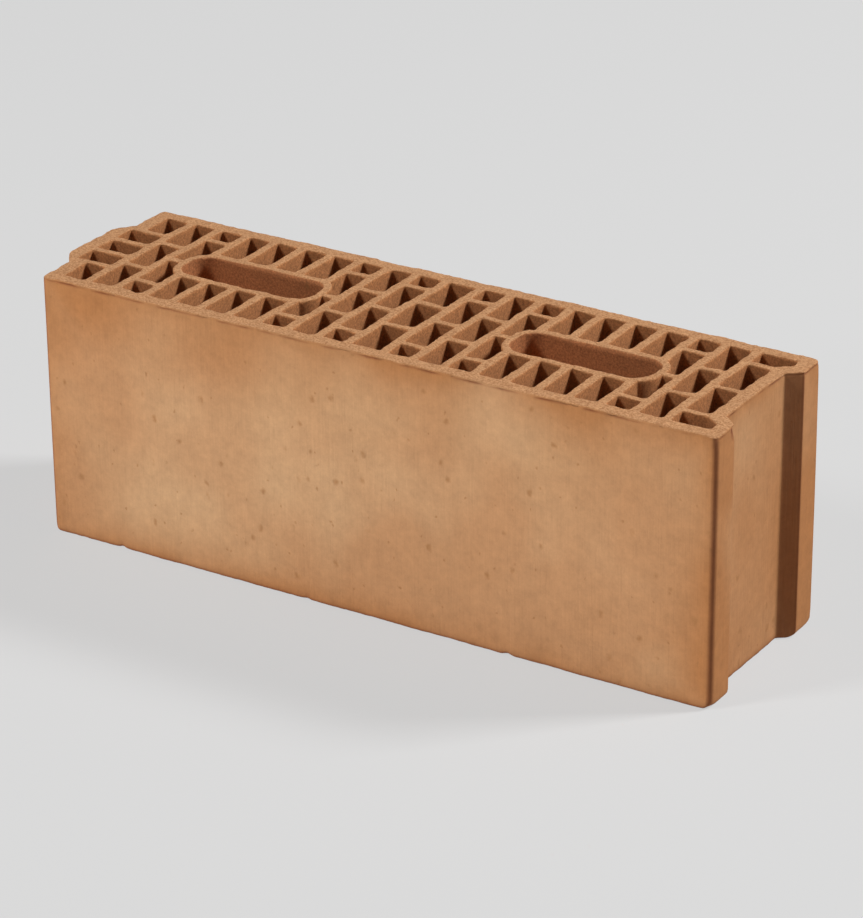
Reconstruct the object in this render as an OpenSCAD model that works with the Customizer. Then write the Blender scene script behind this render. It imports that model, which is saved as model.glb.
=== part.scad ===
// Perforated clay block with a tongue on one end, a groove on the other and two grip slots.
// Millimetres. X runs along the block from tongue to groove, Y across the wall, Z up the cells.
// The origin is under the middle of the block, on the face that it stands on.

/* [Block] */
// Length from the tongue's shoulder to the ends of the groove's lips
block_length = 500; // [450:1:560]
// Thickness across the wall
block_thickness = 138; // [124:1:160]
// Height, along the cells
block_height = 184; // [100:1:250]
// Rounding of the four outer upright edges
edge_radius = 4; // [1:0.5:8]

/* [Tongue and groove] */
// How far the tongue stands out from its shoulder
tongue_projection = 10; // [6:0.5:14]
// Width of the tongue where it leaves the shoulder
tongue_root_width = 76; // [68:1:84]
// Width of the tongue across its tip
tongue_tip_width = 48; // [40:1:56]
// Rounding of the two edges of the tongue's tip
tongue_radius = 12; // [2:0.5:14]
// Depth of the groove
groove_depth = 10.5; // [6:0.5:14]
// Width of the groove between its lips
groove_mouth_width = 92; // [86:1:100]
// Width of the groove's floor
groove_floor_width = 76; // [68:1:82]
// Rounding of the two edges of the groove's floor
groove_radius = 2; // [0.5:0.5:4]

/* [Cells] */
// Wall between the cells and the two long faces
face_wall = 10; // [7:0.5:13]
// Wall between the cells and the tongue end
tongue_wall = 11.5; // [8:0.5:15]
// Wall between the cells and the groove end
groove_wall = 10; // [7:0.5:12]
// Thickness of the webs that cross the block
cross_web = 6.5; // [4:0.5:9]
// Thickness of the webs that run along the block
long_web = 5; // [3:0.5:8]
// Width across the three cells that reach into the tongue
tongue_cells_width = 59; // [50:1:64]
// How much wider the middle column of cells is than the others
middle_extra = 3.7; // [0:0.1:8]
// Rounding of the cells' corners
cell_radius = 2; // [0.5:0.25:3]

/* [Grip slots] */
// Length of a slot
slot_length = 101; // [90:1:110]
// Width of a slot
slot_width = 33.5; // [28:0.5:38]
// Rounding of a slot's corners
slot_radius = 13; // [6:0.5:14]
// Wall round a slot
slot_wall = 5.5; // [4:0.5:8]

/* [Hidden] */
$fn = 48;
fired_clay = "#b9845a";

// The columns of cells from the tongue to the groove: T reaches into the tongue, A has three cells,
// B has two cells between two half cells, S has a cell on each side of a grip slot, and G is like B
// with its half cells carried on into the groove's lips.
columns = "TABSSSSBABABABSSSSBAG";
column_count = len(columns);
middle_column = (column_count - 1) / 2;

// The overall length counts the tongue, and the origin is at its middle
lip_x = (block_length + tongue_projection) / 2;
shoulder_x = lip_x - block_length;
tip_x = -lip_x;
floor_x = lip_x - groove_depth;

// Cells between the end walls, all of one width but for the middle column
cells_start_x = shoulder_x + tongue_wall;
cells_end_x = floor_x - groove_wall;
webs_total = (column_count - 1) * cross_web;
cell_width = (cells_end_x - cells_start_x - webs_total - middle_extra) / column_count;
column_pitch = cell_width + cross_web;

// Cells across the block: three full cells, or two full ones and two halves, fill the same width
cells_y = block_thickness / 2 - face_wall;
full_cell = (2 * cells_y - 2 * long_web) / 3;
half_cell = (full_cell - long_web) / 2;
tongue_cell = (tongue_cells_width - 2 * long_web) / 3;
slot_wall_y = slot_width / 2 + slot_wall;

// Left and right sides of a column
function column_left(i) = cells_start_x + i * column_pitch + (i > middle_column ? middle_extra : 0);
function column_right(i) = column_left(i) + cell_width + (i == middle_column ? middle_extra : 0);

// Columns of one kind, and the middle of each of the two runs of slot columns
function columns_of(kind) = [for (i = [0 : column_count - 1]) if (columns[i] == kind) i];
slot_columns = columns_of("S");
slot_run = len(slot_columns) / 2;
function run_middle(first, last) = (column_left(first) + column_right(last)) / 2;
slot_middles = [
    for (run = [0, 1]) run_middle(slot_columns[run * slot_run], slot_columns[(run + 1) * slot_run - 1])
];

// Rectangle from one corner to the other with its corners rounded
module rounded_box(x0, x1, y0, y1, r) {
    translate([x0 + r, y0]) square([x1 - x0 - 2 * r, y1 - y0]);
    translate([x0, y0 + r]) square([x1 - x0, y1 - y0 - 2 * r]);
    for (x = [x0 + r, x1 - r], y = [y0 + r, y1 - r]) translate([x, y]) circle(r);
}

// Cell in a column, between two heights across the block
module cell(i, y0, y1) {
    rounded_box(column_left(i), column_right(i), y0, y1, cell_radius);
}

// The same shape on both sides of the block's middle plane
module both_sides() {
    children();
    mirror([0, 1]) children();
}

// Trapezoid along +X with its narrow end's two corners rounded, symmetric about the X axis
module tapered_key(wide, narrow, reach, r) {
    run = (wide - narrow) / 2;
    lean = atan2(run, reach);
    back = r * tan((90 - lean) / 2);
    centre_y = narrow / 2 - back;
    polygon([
        [0, -wide / 2],
        [reach - back * cos(lean), -narrow / 2 - back * sin(lean)],
        [reach, -centre_y],
        [reach, centre_y],
        [reach - back * cos(lean), narrow / 2 + back * sin(lean)],
        [0, wide / 2]
    ]);
    for (side = [-1, 1]) translate([reach - r, side * centre_y]) circle(r);
}

// Groove seen from above
module groove_shape() {
    translate([lip_x, 0])
        mirror([1, 0])
            tapered_key(groove_mouth_width, groove_floor_width, groove_depth, groove_radius);
}

// Groove with the clay that stays behind its floor and flanks
module groove_and_wall() {
    lean = atan2((groove_mouth_width - groove_floor_width) / 2, groove_depth);
    mouth_y = groove_mouth_width / 2 + groove_wall / cos(lean);
    floor_y = groove_floor_width / 2 + groove_wall * (1 - sin(lean)) / cos(lean);
    polygon([
        [lip_x, -mouth_y],
        [cells_end_x, -floor_y],
        [cells_end_x, floor_y],
        [lip_x, mouth_y]
    ]);
}

// Grip slots, grown by a wall
module slot_shapes(wall) {
    half_l = slot_length / 2 + wall;
    half_w = slot_width / 2 + wall;
    for (x = slot_middles) rounded_box(x - half_l, x + half_l, -half_w, half_w, slot_radius + wall);
}

// Block seen from above, without its cells
module block_outline() {
    difference() {
        union() {
            rounded_box(shoulder_x, lip_x, -block_thickness / 2, block_thickness / 2, edge_radius);
            translate([shoulder_x, 0])
                mirror([1, 0])
                    tapered_key(tongue_root_width, tongue_tip_width, tongue_projection, tongue_radius);
        }
        groove_shape();
    }
}

// Columns of three cells
module three_cell_columns() {
    for (i = columns_of("A")) {
        cell(i, -full_cell / 2, full_cell / 2);
        both_sides() cell(i, full_cell / 2 + long_web, cells_y);
    }
}

// Columns of two cells between two half cells
module four_cell_columns() {
    for (i = columns_of("B")) both_sides() {
        cell(i, long_web / 2, long_web / 2 + full_cell);
        cell(i, cells_y - half_cell, cells_y);
    }
}

// Cells on both sides of the grip slots
module slot_side_cells() {
    for (i = slot_columns) both_sides() cell(i, slot_wall_y, cells_y);
}

// Three cells that reach into the tongue, and the two corner cells beside them
module tongue_end_cells() {
    i = columns_of("T")[0];
    for (row = [-1, 0, 1]) {
        y0 = row * (tongue_cell + long_web) - tongue_cell / 2;
        rounded_box(tip_x + tongue_wall, column_right(i), y0, y0 + tongue_cell, cell_radius);
    }
    both_sides() cell(i, tongue_cells_width / 2 + long_web, cells_y);
}

// Two cells behind the groove, and two half cells that reach into its lips
module groove_end_cells() {
    i = columns_of("G")[0];
    both_sides() {
        cell(i, long_web / 2, long_web / 2 + full_cell);
        rounded_box(column_left(i), lip_x - groove_wall, cells_y - half_cell, cells_y, cell_radius);
    }
}

// All the cells, clear of the walls of the slots and of the groove
module cell_shapes() {
    three_cell_columns();
    slot_side_cells();
    tongue_end_cells();
    difference() {
        four_cell_columns();
        slot_shapes(slot_wall);
    }
    difference() {
        groove_end_cells();
        groove_and_wall();
    }
}

// The block: one extruded piece, cut square at both ends
module clay_block() {
    color(fired_clay)
        linear_extrude(block_height)
            difference() {
                block_outline();
                cell_shapes();
                slot_shapes(0);
            }
}

clay_block();
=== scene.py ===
"""A fired clay wall block with vertical cells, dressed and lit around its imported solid.

Lengths are in millimetres until a mesh, lamp or camera is made, and Blender then gets metres.
"""

import logging
import math
from dataclasses import dataclass, field
from enum import Enum

import bpy
import numpy as np
from mathutils import Matrix, Vector
from mathutils.geometry import delaunay_2d_cdt


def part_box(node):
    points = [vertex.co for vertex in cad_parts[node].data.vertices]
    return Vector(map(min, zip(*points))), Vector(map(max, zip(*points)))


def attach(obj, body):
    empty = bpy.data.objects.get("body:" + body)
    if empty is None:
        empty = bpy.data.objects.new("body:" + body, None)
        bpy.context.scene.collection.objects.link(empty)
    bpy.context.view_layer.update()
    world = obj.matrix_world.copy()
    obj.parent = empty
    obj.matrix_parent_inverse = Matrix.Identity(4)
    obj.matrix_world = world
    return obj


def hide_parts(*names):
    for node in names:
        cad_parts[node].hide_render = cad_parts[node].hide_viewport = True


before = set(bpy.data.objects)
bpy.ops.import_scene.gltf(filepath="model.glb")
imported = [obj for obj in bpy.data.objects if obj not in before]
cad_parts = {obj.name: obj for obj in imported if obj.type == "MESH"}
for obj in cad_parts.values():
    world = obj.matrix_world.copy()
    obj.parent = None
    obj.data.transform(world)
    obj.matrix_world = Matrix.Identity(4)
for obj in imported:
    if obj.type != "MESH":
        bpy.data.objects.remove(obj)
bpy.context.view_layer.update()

LOG = logging.getLogger("clay_block")
MM = 0.001
NODE = "clay_block"
# Long tests run in this many parts, to save memory
PARTS = 20


class Surface(Enum):
    """What a wall of the block faces, with the value that its vertices carry for the finish."""

    OUTSIDE = 1.0
    GRIP_SLOT = 0.5
    CELL = 0.0


@dataclass(frozen=True)
class Waves:
    """Smooth noise of about unit size, repeatable from its seed.

    The value at a point is a sum of sine waves. Each runs in a seeded direction, with a seeded length
    between the shortest and the longest, and the sum is scaled so that its mean square is one. Along z
    the noise is stretched by the factor tall.
    """

    seed: int
    shortest: float
    longest: float
    tall: float = 1.0
    count: int = 32

    def at(self, points: np.ndarray) -> np.ndarray:
        """Sample the noise.

        Args:
            points: Places in millimetres, one row each.

        Returns:
            One value for each place.
        """
        draw = np.random.default_rng(self.seed)
        aim = draw.normal(size=(self.count, 3))
        aim /= np.linalg.norm(aim, axis=1, keepdims=True)
        length = draw.uniform(self.shortest, self.longest, self.count)
        start = draw.uniform(0.0, 2.0 * math.pi, self.count)
        turns = (points / (1.0, 1.0, self.tall)) @ (2.0 * math.pi * aim / length[:, None]).T
        return np.sin(turns + start).sum(axis=1) * math.sqrt(2.0 / self.count)


@dataclass
class Outline:
    """A closed line round the section, with the clay on its left seen from above.

    Points and outward directions are complex numbers, x + iy. Turning is in radians a millimetre, and it
    is above zero where the line bends round the clay.
    """

    points: np.ndarray
    outward: np.ndarray
    turning: np.ndarray
    surface: Surface

    def flat(self) -> np.ndarray:
        """Give the points as rows of x, y and a zero height."""
        return np.stack([self.points.real, self.points.imag, np.zeros(len(self.points))], axis=1)


@dataclass
class Section:
    """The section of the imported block, read off the rims of its top face.

    Corners that agree to the given decimals of a millimetre are one corner, and a triangle is on top when
    its corners lie within top_within of the highest.
    """

    node: bpy.types.Object
    grip_slots: int = 2
    decimals: int = 3
    top_within: float = 0.01
    fine_step: float = 0.2
    softness: float = 0.5
    turn_step: float = math.radians(20.0)
    spacing: dict[Surface, float] = field(
        default_factory=lambda: {Surface.OUTSIDE: 1.7, Surface.GRIP_SLOT: 1.9, Surface.CELL: 2.2}
    )

    def top_face(self) -> tuple[np.ndarray, np.ndarray]:
        """Find the triangles of the top face.

        Returns:
            The merged corners in millimetres, and the triangles as rows of three corner numbers.
        """
        mesh = self.node.data
        mesh.calc_loop_triangles()
        corners = np.empty(len(mesh.vertices) * 3, np.float32)
        mesh.vertices.foreach_get("co", corners)
        triangles = np.empty(len(mesh.loop_triangles) * 3, np.int32)
        mesh.loop_triangles.foreach_get("vertices", triangles)
        rounded = np.round(corners.reshape(-1, 3).astype(float) / MM, self.decimals)
        merged, number = np.unique(rounded, axis=0, return_inverse=True)
        triangles = number.reshape(-1)[triangles.reshape(-1, 3)]
        height = merged[:, 2].max()
        on_top = np.isclose(merged[triangles, 2], height, atol=self.top_within).all(axis=1)
        return merged, triangles[on_top]

    def rims(self) -> list[np.ndarray]:
        """Put the rim edges of the top face in order, as one closed line for each hole and the outside.

        An edge is on a rim when no other triangle has it the other way round. The lines are put in order
        by doubling: each corner looks 1, 2, 4 and more corners ahead, until it knows the lowest corner
        number on its line and how many steps lead there.

        Returns:
            The lines, as complex numbers.
        """
        corners, top = self.top_face()
        edges = np.concatenate([top[:, [0, 1]], top[:, [1, 2]], top[:, [2, 0]]])
        code = np.array([len(corners), 1])
        rim = edges[~np.isin(edges @ code, edges[:, ::-1] @ code)]
        number = np.arange(len(corners))
        after = number.copy()
        after[rim[:, 0]] = rim[:, 1]
        doublings = math.ceil(math.log2(len(rim))) + 1
        lowest, ahead = number, after
        for _ in range(doublings):
            lowest, ahead = np.minimum(lowest, lowest[ahead]), ahead[ahead]
        at_lowest = lowest == number
        steps, ahead = np.where(at_lowest, 0, 1), np.where(at_lowest, number, after)
        for _ in range(doublings):
            steps, ahead = steps + steps[ahead], ahead[ahead]
        start = rim[:, 0]
        order = start[np.lexsort((-steps[start], lowest[start]))]
        line_ends = np.flatnonzero(np.diff(lowest[order])) + 1
        return np.split(corners[order, 0] + 1j * corners[order, 1], line_ends)

    def soften(self, rim: np.ndarray) -> np.ndarray:
        """Walk round a rim in fine equal steps, and round its corners off as clay does.

        Each point becomes the mean of its neighbours along the line, weighted by a bell curve whose
        half-width is the softness.

        Args:
            rim: The corners of the rim.

        Returns:
            The softened line.
        """
        closed = np.append(rim, rim[0])
        along = np.append(0.0, np.cumsum(np.abs(np.diff(closed))))
        count = round(along[-1] / self.fine_step)
        walked = np.interp(np.linspace(0.0, along[-1], count, endpoint=False), along, closed)
        cycles = np.fft.fftfreq(count, d=along[-1] / count)
        return np.fft.ifft(np.fft.fft(walked) * np.exp(-2.0 * (math.pi * cycles * self.softness) ** 2))

    def outline(self, rim: np.ndarray, surface: Surface) -> Outline:
        """Choose points along a rim: evenly spaced on its straights, and one more for each turn step.

        Args:
            rim: The corners of the rim.
            surface: What the wall along it faces.

        Returns:
            The outline.
        """
        line = self.soften(rim)
        ahead = np.roll(line, -1) - line
        travel = np.abs(ahead)
        turn = np.angle(ahead / np.roll(ahead, 1))
        reach = np.append(0.0, np.cumsum(travel / self.spacing[surface] + np.abs(turn) / self.turn_step))
        wanted = np.linspace(0.0, reach[-1], round(reach[-1]), endpoint=False)
        points = np.interp(wanted, reach, np.append(line, line[0]))
        turning = np.interp(wanted, reach, np.append(turn / travel, turn[0] / travel[0]))
        heading = np.roll(points, -1) - np.roll(points, 1)
        return Outline(points, -1j * heading / np.abs(heading), turning, surface)

    def outlines(self) -> list[Outline]:
        """Read every outline: the longest rim is the outside, and the next ones are the grip slots.

        Returns:
            The outlines, the longest first.
        """
        rims = sorted(self.rims(), key=lambda rim: -np.abs(np.diff(np.append(rim, rim[0]))).sum())
        cells = len(rims) - 1 - self.grip_slots
        surfaces = [Surface.OUTSIDE] + self.grip_slots * [Surface.GRIP_SLOT] + cells * [Surface.CELL]
        return [self.outline(rim, surface) for rim, surface in zip(rims, surfaces)]


@dataclass
class Wall:
    """A grid of points, row by row upwards and column by column along an outline.

    Marks hold one value a point for the finish.
    """

    points: np.ndarray
    marks: dict[str, np.ndarray]

    def quads(self, first: int) -> np.ndarray:
        """Number the corners of the grid's faces, so that they face outwards.

        Args:
            first: The vertex number of the grid's first point.

        Returns:
            Rows of four vertex numbers.
        """
        rows, columns = self.points.shape[:2]
        number = first + np.arange(rows * columns).reshape(rows, columns)
        right = np.roll(number, -1, axis=1)
        return np.stack([number[:-1], right[:-1], right[1:], number[1:]], axis=-1).reshape(-1, 4)


@dataclass(frozen=True)
class Rim:
    """The quarter round in which a wall meets a bed.

    Over it, the outline moves into the clay by the radius times one less the cosine, and stays off the
    bed by the radius times one less the sine. The radius wanders along the rim, as a share of itself, and
    the bed's torn grain reaches over the round as a power of the sine.
    """

    waves: Waves
    wander: float
    bed_power: int
    radius: float = 1.0
    rows: int = 4
    narrowest: float = 0.4
    widest: float = 2.0

    def rounds(self, flat: np.ndarray) -> tuple[np.ndarray, np.ndarray, np.ndarray]:
        """Work out the round, row by row from the wall to the bed.

        Args:
            flat: The outline's points, as rows of x, y and zero.

        Returns:
            How far each point lies in from the outline, how far off the bed, and its share of the bed's
            grain.
        """
        wandering = np.clip(1.0 + self.wander * self.waves.at(flat), self.narrowest, self.widest)
        radius = self.radius * wandering
        bend = np.linspace(0.0, 0.5 * math.pi, self.rows)[:, None]
        grain = np.sin(bend) ** self.bed_power + np.zeros(len(flat))
        return radius * (1.0 - np.cos(bend)), radius * (1.0 - np.sin(bend)), grain


@dataclass(frozen=True)
class Burr:
    """The torn line just under the outer top rim, where the wire has dragged clay over the edge.

    Its share is a bell curve of the depth below the bed, and its strength wanders along the rim.
    """

    depth: float = 1.7
    spread: float = 0.4
    cut: float = 0.45
    waves: Waves = Waves(33, 8.0, 45.0)
    strength: float = 0.7
    wander: float = 0.5
    weakest: float = 0.1
    strongest: float = 1.2

    def share(self, below: np.ndarray, flat: np.ndarray) -> np.ndarray:
        """Give how torn each point of a wall is.

        Args:
            below: How far each point lies below the top bed, row by row.
            flat: The outline's points, as rows of x, y and zero.

        Returns:
            About one in the torn line, and none away from it.
        """
        torn = np.clip(self.strength + self.wander * self.waves.at(flat), self.weakest, self.strongest)
        away = (below - self.depth) / (self.spread * self.depth)
        return np.exp(-away * away) * torn


@dataclass(frozen=True)
class Knock:
    """A dent where an edge was struck: clay within about the radius is pushed in, and may show dark.

    The centre is given in shares of the half length, the half thickness and the height.
    """

    centre: tuple[float, float, float]
    radius: float
    push: tuple[float, float, float]
    dark: float = 0.0

    def share(self, points: np.ndarray, reach: np.ndarray) -> np.ndarray:
        """Give how far each point takes part, as a bell curve of its distance from the centre in radii."""
        far = np.linalg.norm(points - reach * self.centre, axis=1) / self.radius
        return np.exp(-far * far)


@dataclass(frozen=True)
class Wear:
    """How drying, firing and handling have moved the clay.

    The webs sway sideways on long smooth noise, the outer faces less. Each bed rises and falls on long
    and short ripples that fade over a few millimetres of depth. The lower corners of the groove's two
    lips are rounded by the map of a square onto a disc: each of the two distances from the corner's
    centre is multiplied by the root of one less half the other's square. Knocks are pushed in last.
    """

    sway: float = 0.3
    outside_hold: float = 0.1
    sway_along: Waves = Waves(51, 35.0, 90.0, tall=4.0)
    sway_across: Waves = Waves(52, 35.0, 90.0, tall=4.0)
    long_ripple: float = 0.16
    long_waves: Waves = Waves(53, 14.0, 50.0)
    short_ripple: float = 0.10
    short_waves: Waves = Waves(54, 3.0, 8.0)
    ripple_fade: float = 3.0
    top_sink: float = 0.2
    bottom_share: float = 0.4
    lip_reach: float = 5.5
    knocks: tuple[Knock, ...] = (
        Knock((-0.96, -1.0, 0.0), 3.0, (0.5, 0.4, 0.5), 0.7),
        Knock((-0.74, -1.0, 0.0), 2.2, (0.0, 0.9, 1.0), 0.9),
        Knock((-0.16, -1.0, 0.0), 2.6, (0.0, 0.6, 0.5), 0.8),
        Knock((0.43, -1.0, 0.0), 3.0, (0.0, 0.7, 0.9)),
        Knock((-0.58, -1.0, 1.0), 3.5, (0.0, 0.7, -0.8)),
        Knock((0.12, -1.0, 1.0), 4.0, (0.0, 0.7, -0.8)),
        Knock((0.71, -1.0, 1.0), 3.0, (0.0, 0.8, -0.7)),
        Knock((1.0, -0.97, 1.0), 5.0, (-0.9, 0.6, -1.0)),
        Knock((1.0, -0.68, 0.982), 2.8, (-2.0, -0.8, 0.0), 1.0),
        Knock((1.0, 0.96, 1.0), 4.0, (-0.3, -0.3, -0.4)),
        Knock((0.96, -0.2, 1.0), 3.5, (-0.9, 0.0, -0.6)),
        Knock((1.0, -1.0, 0.0), 5.0, (-1.0, 0.9, 0.8)),
        Knock((1.0, 1.0, 0.0), 5.0, (-0.8, -0.8, 0.5)),
    )

    def worn(self, points: np.ndarray, outside: np.ndarray, reach: np.ndarray) -> np.ndarray:
        """Move each point from its ideal place.

        Args:
            points: The ideal places in millimetres, one row each.
            outside: One for a point of an outer face, less for one inside.
            reach: The half length, the half thickness and the height.

        Returns:
            The worn places.
        """
        half_length, _, height = reach
        worn = points.copy()
        free = self.sway - self.outside_hold * outside
        worn[:, 0] += free * self.sway_along.at(points)
        worn[:, 1] += free * self.sway_across.at(points)
        at_top = np.exp((points[:, 2] - height) / self.ripple_fade)
        at_bottom = np.exp(-points[:, 2] / self.ripple_fade)
        flat = points * (1.0, 1.0, 0.0)
        ripple = self.long_ripple * self.long_waves.at(flat) + self.short_ripple * self.short_waves.at(flat)
        worn[:, 2] += at_top * (ripple - self.top_sink) + self.bottom_share * at_bottom * np.abs(ripple)

        lip = self.lip_reach
        from_x = np.clip((points[:, 0] - half_length) / lip + 1.0, 0.0, 1.0)
        from_z = np.clip(1.0 - points[:, 2] / lip, 0.0, 1.0)
        worn[:, 0] += lip * from_x * (np.sqrt(1.0 - 0.5 * from_z**2) - 1.0)
        worn[:, 2] -= lip * from_z * (np.sqrt(1.0 - 0.5 * from_x**2) - 1.0)
        for knock in self.knocks:
            worn += knock.share(points, reach)[:, None] * knock.push
        # Nothing reaches below the floor
        worn[:, 2] = np.maximum(worn[:, 2], 0.0)
        return worn

    def dark(self, points: np.ndarray, reach: np.ndarray) -> np.ndarray:
        """Give how dark the knocks show at each point, as the most that any of them gives it."""
        return np.max([knock.dark * knock.share(points, reach) for knock in self.knocks], axis=0)


@dataclass(frozen=True)
class KilnFlash:
    """The redder brown that the kiln has left along the outer edges.

    It falls off as an exponential of the distance from an end or a bed, whichever leaves more of it, each
    over its own fade length, and faster above the bottom bed. Its strength wanders with the draught.
    """

    tongue: float = 10.0
    fade_along: float = 33.0
    fade_up: float = 42.0
    bottom_haste: float = 2.5
    strength: float = 0.9
    steady: float = 0.9
    wander: float = 0.15
    draught: Waves = Waves(61, 40.0, 110.0)

    def share(self, points: np.ndarray, outside: np.ndarray, reach: np.ndarray) -> np.ndarray:
        """Give how far each point is reddened.

        Args:
            points: Places in millimetres, one row each.
            outside: One for a point of an outer face, less for one inside.
            reach: The half length, the half thickness and the height.

        Returns:
            A share from zero to one for each place.
        """
        half_length, _, height = reach
        from_end = np.minimum(points[:, 0] + half_length - self.tongue, half_length - points[:, 0])
        from_bed = np.minimum(self.bottom_haste * points[:, 2], height - points[:, 2])
        along = np.exp(-np.clip(from_end, 0.0, None) / self.fade_along)
        near = np.maximum(along, np.exp(-from_bed / self.fade_up))
        drawn = self.steady + self.wander * self.draught.at(points)
        return self.strength * outside * np.clip(near * drawn, 0.0, 1.0)


@dataclass(frozen=True)
class ClayFinish:
    """Fired clay, extruded through a die and cut by wire: matt, warm brown, dragged and speckled.

    The die leaves fine upright drag lines on the walls, the wire a torn and paler grain on the beds, and
    the kiln soft clouds of paler and redder brown. Sizes are in millimetres.
    """

    body: str = "#b88a62"
    pale: str = "#c29a72"
    red: str = "#a46c3e"
    bed_pale: str = "#ce9c70"
    bed_deep: str = "#9f6c45"
    cell: str = "#b2784b"
    slot: str = "#ac6f46"
    # Painted shade low in the cells
    depth: str = "#6e5240"
    # Painted shade on corners, groove flanks, under the torn line and along the foot, and the dark of
    # knocks
    shade_and_nick_brown: str = "#6d371e"
    pit: str = "#9a6b42"
    roughness: float = 0.92
    ior: float = 1.5
    specular: float = 0.25
    cloud: float = 120.0
    mottle: float = 9.0
    drag_width: float = 1.3
    drag_length: float = 35.0
    grain: float = 1.4
    pit_spacing: float = 17.0
    pit_radius: float = 3.0
    speck_spacing: float = 9.0
    speck_radius: float = 1.3
    pit_stretch: float = 1.3
    pit_ragged: float = 5.0
    relief: float = 0.4

    def material(self) -> bpy.types.Material:
        """Build the material.

        A Mix node takes its share at input 0. It takes colours at inputs 6 and 7 and gives output 2, and it
        takes plain numbers at inputs 2 and 3 and gives output 0.

        Returns:
            The finished material.
        """
        made = bpy.data.materials.new("extruded_fired_clay")
        made.use_nodes = True
        tree = made.node_tree
        shader = tree.nodes["Principled BSDF"]
        shader.inputs["Roughness"].default_value = self.roughness
        shader.inputs["IOR"].default_value = self.ior
        shader.inputs["Specular IOR Level"].default_value = self.specular
        place = add(tree, "TexCoord").outputs["Object"]
        marks = {
            name: add(tree, "Attribute", {"attribute_name": name}).outputs["Fac"]
            for name in ("outside", "bed", "corner_flank_shade", "burr", "flash", "depth_shade")
        }
        blend = {"data_type": "RGBA"}
        larger = {"operation": "MAXIMUM"}
        # Most values of a noise lie in this span
        middle = {"From Min": 0.3, "From Max": 0.7}

        # Kiln clouds: broad patches, paler where the noise is low and redder where it is high
        broad = {"Scale": 1 / (self.cloud * MM), "Detail": 2.0}
        cloud = add(tree, "TexNoise", broad, {"Vector": place})
        reddening = {"From Min": 0.46, "From Max": 0.72, "To Max": 0.22}
        warm = add(tree, "MapRange", reddening, {"Value": cloud.outputs[0]})
        paling = {"From Min": 0.57, "From Max": 0.35}
        cool = add(tree, "MapRange", paling, {"Value": cloud.outputs[0]})
        flash = add(tree, "Math", larger, {0: warm.outputs[0], 1: marks["flash"]})
        clouded = blend | {6: linear(self.body), 7: linear(self.pale)}
        skin = add(tree, "Mix", clouded, {0: cool.outputs[0]})
        skin = add(tree, "Mix", blend | {7: linear(self.red)}, {0: flash.outputs[0], 6: skin.outputs[2]})

        # Inside, the cells and slots are redder and rougher, and painted shade darkens the cells with depth
        torn = {"Scale": 1 / (self.grain * MM), "Detail": 3.0, "Roughness": 0.7}
        grain = add(tree, "TexNoise", torn, {"Vector": place})
        in_slot = add(tree, "MapRange", {"From Max": Surface.GRIP_SLOT.value}, {"Value": marks["outside"]})
        on_skin = add(tree, "MapRange", {"From Min": Surface.GRIP_SLOT.value}, {"Value": marks["outside"]})
        hollow = blend | {6: linear(self.cell), 7: linear(self.slot)}
        inner = add(tree, "Mix", hollow, {0: in_slot.outputs[0]})
        inner = add(tree, "Mix", blend | {7: linear(self.depth)}, {0: marks["depth_shade"], 6: inner.outputs[2]})
        coarse = middle | {"To Min": 0.6, "To Max": 1.4}
        rough = add(tree, "MapRange", coarse, {"Value": grain.outputs[0]})
        inner = add(tree, "HueSaturation", {}, {"Value": rough.outputs[0], "Color": inner.outputs[2]})
        skin = add(tree, "Mix", blend, {0: on_skin.outputs[0], 6: inner.outputs[0], 7: skin.outputs[2]})

        # Drag lines: noise that is narrow across the wall and long up it
        narrow = {"Scale": (1.0, 1.0, self.drag_width / self.drag_length)}
        drawn = add(tree, "Mapping", narrow, {"Vector": place})
        lines = {"Scale": 1 / (self.drag_width * MM), "Detail": 3.0, "Roughness": 0.65}
        drag = add(tree, "TexNoise", lines, {"Vector": drawn.outputs[0]})

        # Pits and specks: soft ragged hollows, taller than wide, where the surface cuts scattered spheres
        tatter = {"Scale": 1 / (self.pit_ragged * MM), "Detail": 2.0}
        uneven = add(tree, "TexNoise", tatter, {"Vector": place})
        swing = {"operation": "MULTIPLY_ADD", 1: 3 * (self.pit_ragged * MM,)}
        ragged = add(tree, "VectorMath", swing, {0: uneven.outputs["Color"], 2: place})
        tall = {"Scale": (1.0, 1.0, 1.0 / self.pit_stretch)}
        upright = add(tree, "Mapping", tall, {"Vector": ragged.outputs[0]})
        sunk = []
        for spacing, radius in (
            (self.pit_spacing, self.pit_radius),
            (self.speck_spacing, self.speck_radius),
        ):
            spheres = add(tree, "TexVoronoi", {"Scale": 1 / (spacing * MM)}, {"Vector": upright.outputs[0]})
            edge = {"interpolation_type": "SMOOTHSTEP"}
            edge |= {"From Min": radius / spacing, "From Max": 0.0, "To Max": 0.8}
            sunk.append(add(tree, "MapRange", edge, {"Value": spheres.outputs["Distance"]}).outputs[0])
        pits = add(tree, "Math", larger, {0: sunk[0], 1: sunk[1]})
        skin = add(tree, "Mix", blend | {7: linear(self.pit)}, {0: pits.outputs[0], 6: skin.outputs[2]})

        # A dark red-brown: painted shade on corners, partly a redder tone there, and on the groove flanks;
        # a painted shadow under the torn line and painted shade along the foot; and the dark of knocks
        shade_and_nick_share = add(tree, "Math", larger, {0: marks["corner_flank_shade"], 1: marks["burr"]}).outputs[0]
        skin = add(tree, "Mix", blend | {7: linear(self.shade_and_nick_brown)}, {0: shade_and_nick_share, 6: skin.outputs[2]})

        # Beds: the same grain, pale on its tops and darker between them
        tops = add(tree, "MapRange", {"From Min": 0.35, "From Max": 0.62}, {"Value": grain.outputs[0]})
        grained = blend | {6: linear(self.bed_deep), 7: linear(self.bed_pale)}
        bed = add(tree, "Mix", grained, {0: tops.outputs[0]})
        colour = add(tree, "Mix", blend, {0: marks["bed"], 6: skin.outputs[2], 7: bed.outputs[2]})

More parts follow.
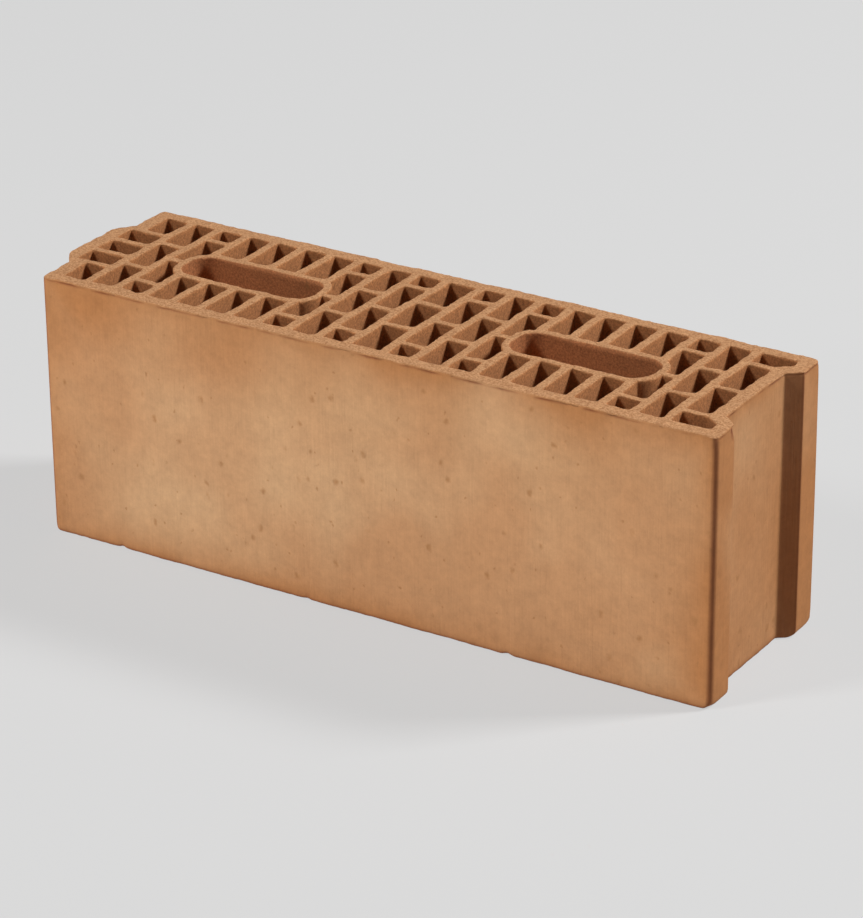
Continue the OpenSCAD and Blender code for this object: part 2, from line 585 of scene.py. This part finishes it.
        # Mottle and drag lines lift and lower the brightness a little
        patches = {"Scale": 1 / (self.mottle * MM), "Detail": 6.0, "Roughness": 0.8}
        mottle = add(tree, "TexNoise", patches, {"Vector": place})
        patchy = middle | {"To Min": -0.12, "To Max": 0.12}
        lift = add(tree, "MapRange", patchy, {"Value": mottle.outputs[0]})
        striped = middle | {"To Min": 0.965, "To Max": 1.035}
        stripe = add(tree, "MapRange", striped, {"Value": drag.outputs[0]})
        value = add(tree, "Math", {"operation": "ADD"}, {0: lift.outputs[0], 1: stripe.outputs[0]})
        toned = add(tree, "HueSaturation", {}, {"Value": value.outputs[0], "Color": colour.outputs[2]})
        tree.links.new(toned.outputs[0], shader.inputs["Base Color"])

        # Fine relief: drag lines on the walls, grain on the beds, pits sunk into both
        relief = add(tree, "Mix", {}, {0: marks["bed"], 2: drag.outputs[0], 3: grain.outputs[0]})
        sink = {"operation": "MULTIPLY_ADD", 1: -0.6}
        relief = add(tree, "Math", sink, {0: pits.outputs[0], 2: relief.outputs[0]})
        raised = {"Strength": 0.5, "Distance": self.relief * MM}
        bump = add(tree, "Bump", raised, {"Height": relief.outputs[0]})
        tree.links.new(bump.outputs[0], shader.inputs["Normal"])
        return made


@dataclass
class ClayBlock:
    """The block as one closed mesh: its outlines carried from bed to bed, and the two beds."""

    outlines: list[Outline]
    length: float
    thickness: float
    height: float
    finish: ClayFinish
    top_rim: Rim = Rim(Waves(31, 4.0, 18.0), wander=0.3, bed_power=2)
    bottom_rim: Rim = Rim(Waves(32, 4.0, 18.0), wander=0.15, bed_power=12)
    burr: Burr = Burr()
    wear: Wear = Wear()
    flash: KilnFlash = KilnFlash()
    # Rows of an outside wall: near the torn line in burr depths, even steps, then heights off the bottom
    torn_rows: tuple[float, ...] = (0.7, 0.85, 1.0, 1.2, 1.5, 2.0)
    outside_step: float = 7.0
    first_step: float = 1.5
    steps_end: float = 4.0
    foot_rows: tuple[float, ...] = (2.6, 1.5)
    cell_depths: tuple[float, ...] = (2.5, 7.0, 14.0, 30.0, 80.0, 150.0)
    # Points inside a bed: their spacing, and in shares of it their jitter and clearance from the rims
    top_spacing: float = 2.2
    bottom_spacing: float = 4.5
    jitter: float = 0.2
    clearance: float = 0.5
    jitter_seed: int = 41
    merge_within: float = 1e-7
    # Painted shade marks: how strong each is, and where it lies
    corner_shade_mark: float = 0.72
    corner_shade_gain: float = 5.0
    askew_power: float = 1.5
    flank_shade_mark: float = 0.6
    flank_zone: float = 10.0
    burr_shadow_mark: float = 0.65
    foot_shade_mark: float = 0.8
    foot_shade_reach: float = 1.9
    depth_shade_mark: float = 0.45
    depth_shade_reach: float = 18.0

    def reach(self) -> np.ndarray:
        """Give the half length, the half thickness and the height."""
        return np.array([0.5 * self.length, 0.5 * self.thickness, self.height])

    def depths(self, surface: Surface) -> np.ndarray:
        """Choose the depths at which a wall has rows: close together under the outside rim.

        Args:
            surface: What the wall faces.

        Returns:
            Depths below the top bed, from the top down.
        """
        if surface is not Surface.OUTSIDE:
            return np.array(self.cell_depths)
        near = self.burr.depth * np.array(self.torn_rows)
        upper = self.first_step * self.outside_step
        lower = self.height - self.steps_end
        steps = np.arange(upper, lower, self.outside_step)
        return np.concatenate([near, steps, self.height - np.array(self.foot_rows)])

    def wall(self, outline: Outline) -> Wall:
        """Carry an outline from the bottom bed to the top bed.

        The wall is upright between its two rims. Just under the outside's top rim it is cut in a little,
        by the burr's cut times its share, where the wire has dragged clay over the edge.

        Args:
            outline: The line to carry.

        Returns:
            The wall.
        """
        flat = outline.flat()
        top_inset, top_drop, top_grain = self.top_rim.rounds(flat)
        low_inset, low_rise, low_grain = self.bottom_rim.rounds(flat)
        depths = self.depths(outline.surface)[::-1, None] + np.zeros(len(flat))
        plain = np.zeros_like(depths)
        inset = np.concatenate([low_inset[::-1], plain, top_inset])
        level = np.concatenate([low_rise[::-1], self.height - depths, self.height - top_drop])
        grain = np.concatenate([low_grain[::-1], plain, top_grain])
        torn = self.burr.share(self.height - level, flat) * (outline.surface is Surface.OUTSIDE)
        place = outline.points - (inset + self.burr.cut * torn) * outline.outward
        marks = {"outside": np.full(level.shape, outline.surface.value), "bed": grain}
        marks |= self.painted_shade_marks(outline, level, grain, torn)
        return Wall(np.stack([place.real, place.imag, level], axis=-1), marks)

    def painted_shade_marks(
        self, outline: Outline, level: np.ndarray, grain: np.ndarray, torn: np.ndarray
    ) -> dict[str, np.ndarray]:
        """Work out where a wall gets painted shade.

        The corner and flank mark is painted shade on outer corners that turn, most where they face between
        the two axes, partly a redder tone there, and painted shade on the groove's flanks. The burr mark is
        a painted shadow in the torn line, and painted shade on the lower edge as a bell curve of the
        height. The depth mark is painted shade that grows with depth in a cell as one less an exponential.

        Args:
            outline: The line that the wall follows.
            level: The height of each point.
            grain: Each point's share of a bed's grain.
            torn: Each point's share of the torn line.

        Returns:
            Shares from zero to one, by the mark's name.
        """
        is_outside = outline.surface is Surface.OUTSIDE
        # Painted shade on outer corners that turn, most where they face between the two axes, partly a
        # redder tone; and painted shade on the groove's flanks
        askew = np.abs(np.sin(2.0 * np.angle(outline.outward))) ** self.askew_power
        corner = askew * np.clip(outline.turning * self.corner_shade_gain, 0.0, 1.0) * is_outside
        in_groove = outline.points.real > 0.5 * self.length - self.flank_zone
        flank = in_groove * np.clip(-outline.outward.imag * np.sign(outline.points.imag), 0.0, 1.0)
        # Painted shade along the lower edge, where the block meets the floor
        foot_shade = np.exp(-((level / self.foot_shade_reach) ** 2)) * is_outside
        # Painted shade in the cells, darker with depth below the top bed
        sunk = 1.0 - np.exp((level - self.height) / self.depth_shade_reach)
        return {
            "corner_flank_shade": np.maximum(self.corner_shade_mark * corner, self.flank_shade_mark * flank) * (1.0 - grain),
            # Painted shadow under the torn line, and painted shade along the foot
            "burr": np.clip(np.maximum(self.burr_shadow_mark * torn, self.foot_shade_mark * foot_shade), 0.0, 1.0),
            "depth_shade": self.depth_shade_mark * sunk * (outline.surface is Surface.CELL),
        }

    def inner_points(self, rims: list[np.ndarray], spacing: float) -> np.ndarray:
        """Scatter points over a bed, on a jittered triangular grid that keeps clear of the rims.

        Args:
            rims: The bed's rims, as complex numbers.
            spacing: Distance between points.

        Returns:
            The points, as complex numbers.
        """
        along = np.arange(-0.5 * self.length, 0.5 * self.length, spacing)
        across = np.arange(-0.5 * self.thickness, 0.5 * self.thickness, spacing * math.sqrt(0.75))
        shift = np.where(np.arange(len(across)) % 2, 0.5 * spacing, 0.0)
        grid = (along[None, :] + shift[:, None] + 1j * across[:, None]).ravel()
        draw = np.random.default_rng(self.jitter_seed)
        jitter_x = draw.uniform(-self.jitter, self.jitter, len(grid))
        jitter_y = draw.uniform(-self.jitter, self.jitter, len(grid))
        grid = grid + spacing * (jitter_x + 1j * jitter_y)
        grid = grid[in_clay(grid, rims)]
        rim = np.concatenate(rims)
        clear = [np.abs(part[:, None] - rim).min(axis=1) for part in np.array_split(grid, PARTS)]
        return grid[np.concatenate(clear) > self.clearance * spacing]

    def bed(
        self, rims: list[np.ndarray], numbers: list[np.ndarray], spacing: float, first: int
    ) -> tuple[np.ndarray, np.ndarray]:
        """Fill a bed between its rims with triangles.

        Args:
            rims: The bed's rims, as complex numbers.
            numbers: The vertex number of each rim point.
            spacing: Distance between the points inside the bed.
            first: The vertex number that the first inside point gets.

        Returns:
            The inside points as complex numbers, and the triangles, seen from above, as vertex numbers.
        """
        inside = self.inner_points(rims, spacing)
        points = np.concatenate([*rims, inside])
        number = np.concatenate([*numbers, first + np.arange(len(inside))])
        starts = np.cumsum([0] + [len(rim) for rim in rims])
        edges = np.concatenate(
            [
                start + np.stack([np.arange(len(rim)), np.roll(np.arange(len(rim)), -1)], axis=1)
                for start, rim in zip(starts, rims)
            ]
        )
        pairs = np.stack([points.real, points.imag], axis=1)
        only_inside = 1
        _, _, faces, *_ = delaunay_2d_cdt(
            pairs.tolist(), edges.tolist(), [], only_inside, self.merge_within
        )
        triangles = np.array(faces)
        middles = points[triangles].mean(axis=1)
        return inside, number[triangles[in_clay(middles, rims)]]

    def build(self) -> bpy.types.Object:
        """Make the mesh and its object.

        Returns:
            The block, at the origin.
        """
        walls = [self.wall(outline) for outline in self.outlines]
        sizes = [wall.points.shape[0] * wall.points.shape[1] for wall in walls]
        starts = np.cumsum([0] + sizes)
        quads = np.concatenate([wall.quads(start) for wall, start in zip(walls, starts)])
        points = [wall.points.reshape(-1, 3) for wall in walls]
        marks = {name: [wall.marks[name].ravel() for wall in walls] for name in walls[0].marks}
        triangles = []
        first = int(starts[-1])
        for row, spacing, level in ((0, self.bottom_spacing, 0.0), (-1, self.top_spacing, self.height)):
            rims = [wall.points[row, :, 0] + 1j * wall.points[row, :, 1] for wall in walls]
            numbers = [
                start + np.arange(size).reshape(wall.points.shape[:2])[row]
                for start, size, wall in zip(starts, sizes, walls)
            ]
            inside, faces = self.bed(rims, numbers, spacing, first)
            # The bottom bed's triangles are turned to face down
            triangles.append(faces[:, ::-1] if row == 0 else faces)
            points.append(np.stack([inside.real, inside.imag, np.full(len(inside), level)], axis=1))
            for name in marks:
                marks[name].append(np.full(len(inside), 1.0 if name == "bed" else 0.0))
            first += len(inside)
        ideal = np.concatenate(points)
        values = {name: np.concatenate(parts) for name, parts in marks.items()}
        values["flash"] = self.flash.share(ideal, values["outside"], self.reach())
        # The dark of knocks joins the painted shadow under the torn line and the painted shade along the
        # foot
        values["burr"] = np.maximum(values["burr"], self.wear.dark(ideal, self.reach()))
        places = self.wear.worn(ideal, values["outside"], self.reach()) * MM

        mesh = bpy.data.meshes.new("fired_clay_block")
        mesh.from_pydata(places.tolist(), [], quads.tolist() + np.concatenate(triangles).tolist())
        mesh.polygons.foreach_set("use_smooth", np.ones(len(mesh.polygons), bool))
        for name, value in values.items():
            mesh.attributes.new(name, "FLOAT", "POINT").data.foreach_set("value", value.astype(np.float32))
        mesh.update()
        block = bpy.data.objects.new("fired_clay_block", mesh)
        bpy.context.scene.collection.objects.link(block)
        return block

    def dress(self, block: bpy.types.Object) -> None:
        """Give the block its finish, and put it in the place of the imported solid.

        Args:
            block: The block's object.
        """
        block.data.materials.append(self.finish.material())
        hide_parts(NODE)
        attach(block, "root")


@dataclass(frozen=True)
class Lamp:
    """A square soft lamp that faces the block, with its distance and size in metres.

    At a level of one, a matt surface that faces the lamp renders as its colour is written.
    """

    name: str
    toward: tuple[float, float, float]
    distance: float
    size: float
    level: float

    def hang(self, aim: Vector) -> None:
        """Put the lamp at its distance from what it is aimed at.

        Its power is the level times the square of pi times the distance, which makes up for how its light
        spreads on the way.

        Args:
            aim: The place that the lamp faces, in metres.
        """
        data = bpy.data.lights.new(self.name, "AREA")
        data.size = self.size
        data.energy = self.level * math.pi**2 * self.distance**2
        lamp = bpy.data.objects.new(self.name, data)
        toward = Vector(self.toward).normalized()
        lamp.location = aim + self.distance * toward
        lamp.rotation_euler = toward.to_track_quat("Z", "Y").to_euler()
        bpy.context.scene.collection.objects.link(lamp)


@dataclass(frozen=True)
class Studio:
    """A pale floor that keeps a soft shadow, three soft lamps, and a camera at the photograph's angle.

    The floor's sizes and the camera's place are in metres, its lens and sensor in millimetres.
    """

    pale: str = "#d9d9d9"
    floor: str = "#dedede"
    floor_side: float = 40.0
    floor_drop: float = 0.0002
    floor_tuck: float = 0.012
    shadow_share: float = 0.24
    ambient: float = 0.055
    lamps: tuple[Lamp, ...] = (
        Lamp("low_side_lamp", (-0.65, -0.75, 0.05), 5.0, 0.5, 0.65),
        Lamp("high_side_lamp", (-0.43, -0.62, 0.65), 5.0, 0.9, 0.40),
        Lamp("back_lamp", (0.61, 0.46, 0.645), 5.0, 0.9, 1.00),
    )
    eye: tuple[float, float, float] = (1.23104, -1.94402, 1.14597)
    azimuth: float = math.radians(32.09)
    elevation: float = math.radians(24.803)
    roll: float = math.radians(-0.533)
    lens: float = 153.32
    sensor: float = 36.0

    def seen(self, tree: bpy.types.NodeTree) -> bpy.types.NodeSocket:
        """Tell the rays by which the camera sees a surface from those that light other surfaces.

        Args:
            tree: The nodes to add to.

        Returns:
            A socket that is one for rays from the camera, in gloss or through glass, and else zero.
        """
        path = add(tree, "LightPath").outputs
        larger = {"operation": "MAXIMUM"}
        plain = add(tree, "Math", larger, {0: path["Is Camera Ray"], 1: path["Is Glossy Ray"]})
        return add(tree, "Math", larger, {0: plain.outputs[0], 1: path["Is Transmission Ray"]}).outputs[0]

    def light(self, aim: Vector) -> None:
        """Hang the lamps, and give the world a low even light and a pale look.

        Args:
            aim: The place that the lamps face, in metres.
        """
        for lamp in self.lamps:
            lamp.hang(aim)
        world = bpy.data.worlds.new("studio")
        world.use_nodes = True
        tree = world.node_tree
        dim = add(tree, "Background", {"Color": (1.0, 1.0, 1.0, 1.0), "Strength": self.ambient})
        pale = add(tree, "Background", {"Color": linear(self.pale)})
        both = add(tree, "MixShader", {}, {0: self.seen(tree), 1: dim.outputs[0], 2: pale.outputs[0]})
        tree.links.new(both.outputs[0], tree.nodes["World Output"].inputs["Surface"])
        bpy.context.scene.world = world

    def floor_material(self, name: str, even_share: float) -> bpy.types.Material:
        """Make a matt floor.

        Args:
            name: The material's name.
            even_share: How much of what the camera sees of it is an even pale grey. The rest is its own
                shade.

        Returns:
            The finished material.
        """
        made = bpy.data.materials.new(name)
        made.use_nodes = True
        tree = made.node_tree
        tree.nodes.clear()
        matt = add(tree, "BsdfDiffuse", {"Color": linear(self.floor)})
        even = add(tree, "Emission", {"Color": linear(self.pale)})
        share = add(tree, "Math", {"operation": "MULTIPLY", 1: even_share}, {0: self.seen(tree)})
        both = add(tree, "MixShader", {}, {0: share.outputs[0], 1: matt.outputs[0], 2: even.outputs[0]})
        add(tree, "OutputMaterial", {}, {"Surface": both.outputs[0]})
        return made

    def lay_floor(self, low: Vector, high: Vector) -> None:
        """Lay the floor in three rows of three fields.

        The middle field, seen down through the cells, has only its own shade.

        Args:
            low: The block's lowest corner, in metres.
            high: Its highest corner.
        """
        half = 0.5 * self.floor_side
        along = (-half, low.x + self.floor_tuck, high.x - self.floor_tuck, half)
        across = (-half, low.y + self.floor_tuck, high.y - self.floor_tuck, half)
        corners = [(x, y, -self.floor_drop) for y in across for x in along]
        wide = len(along)
        fields = [
            (corner, corner + 1, corner + wide + 1, corner + wide)
            for row in range(len(across) - 1)
            for corner in range(row * wide, row * wide + wide - 1)
        ]
        middle = len(fields) // 2
        mesh = bpy.data.meshes.new("studio_floor")
        mesh.from_pydata(corners, [], fields)
        mesh.materials.append(self.floor_material("matt_studio_floor", 1.0 - self.shadow_share))
        mesh.materials.append(self.floor_material("shaded_studio_floor", 0.0))
        mesh.polygons[middle].material_index = 1
        floor = bpy.data.objects.new("studio_floor", mesh)
        bpy.context.scene.collection.objects.link(floor)

    def set_camera(self) -> None:
        """Set the camera where the photograph was taken from."""
        data = bpy.data.cameras.new("photo_camera")
        data.lens = self.lens
        data.sensor_width = self.sensor
        camera = bpy.data.objects.new("photo_camera", data)
        level = math.cos(self.elevation)
        back = Vector(
            (level * math.sin(self.azimuth), -level * math.cos(self.azimuth), math.sin(self.elevation))
        )
        turn = back.to_track_quat("Z", "Y").to_matrix().to_4x4() @ Matrix.Rotation(self.roll, 4, "Z")
        camera.matrix_world = Matrix.Translation(self.eye) @ turn
        bpy.context.scene.collection.objects.link(camera)
        bpy.context.scene.camera = camera


def linear(colour: str) -> tuple[float, float, float, float]:
    """Turn an sRGB hex colour into linear light, by the sRGB curve.

    Args:
        colour: A hash sign and six hex digits.

    Returns:
        Red, green and blue, and a full alpha.
    """
    srgb = np.array([int(colour[at : at + 2], 16) for at in (1, 3, 5)]) / 255.0
    values = np.where(srgb <= 0.04045, srgb / 12.92, ((srgb + 0.055) / 1.055) ** 2.4)
    return (*values.tolist(), 1.0)


def add(
    tree: bpy.types.NodeTree,
    kind: str,
    settings: dict[str | int, object] | None = None,
    links: dict[str | int, bpy.types.NodeSocket] | None = None,
) -> bpy.types.Node:
    """Add a shader node.

    Args:
        tree: The nodes to add it to.
        kind: Blender's name for the node, without the ShaderNode before it.
        settings: Values for the node's own properties, or else for its inputs by name or number.
        links: The output that feeds each input, by the input's name or number.

    Returns:
        The node.
    """
    node = tree.nodes.new("ShaderNode" + kind)
    for name, value in (settings or {}).items():
        if isinstance(name, str) and hasattr(node, name):
            setattr(node, name, value)
        else:
            node.inputs[name].default_value = value
    for name, source in (links or {}).items():
        tree.links.new(source, node.inputs[name])
    return node


def in_clay(points: np.ndarray, rims: list[np.ndarray]) -> np.ndarray:
    """Tell which points lie in the clay.

    A line from such a point along +x crosses the rims an odd number of times.

    Args:
        points: Places, as complex numbers.
        rims: The closed rims, as complex numbers.

    Returns:
        True or false for each place.
    """
    start = np.concatenate(rims)
    end = np.concatenate([np.roll(rim, -1) for rim in rims])
    rise = np.where(end.imag == start.imag, 1.0, end.imag - start.imag)
    slope = (end.real - start.real) / rise
    found = []
    for part in np.array_split(points, PARTS):
        y = part.imag[:, None]
        passes = (start.imag > y) != (end.imag > y)
        crosses = passes & (part.real[:, None] < start.real + (y - start.imag) * slope)
        found.append(crosses.sum(axis=1) % 2 == 1)
    return np.concatenate(found)


def main() -> None:
    """Build, dress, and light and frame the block."""
    logging.basicConfig(level=logging.INFO, format="%(name)s: %(message)s")
    low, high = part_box(NODE)
    size = (high - low) / MM
    section = Section(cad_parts[NODE])
    clay = ClayBlock(section.outlines(), size.x, size.y, size.z, ClayFinish())
    block = clay.build()
    clay.dress(block)
    LOG.info("%s: %d faces from %d outlines", block.name, len(block.data.polygons), len(clay.outlines))

    studio = Studio()
    studio.light((low + high) / 2)
    studio.lay_floor(low, high)
    studio.set_camera()
    bpy.context.scene.view_settings.view_transform = "Standard"
    LOG.info("studio: %d lamps", len(studio.lamps))


if __name__ == "__main__":
    main()
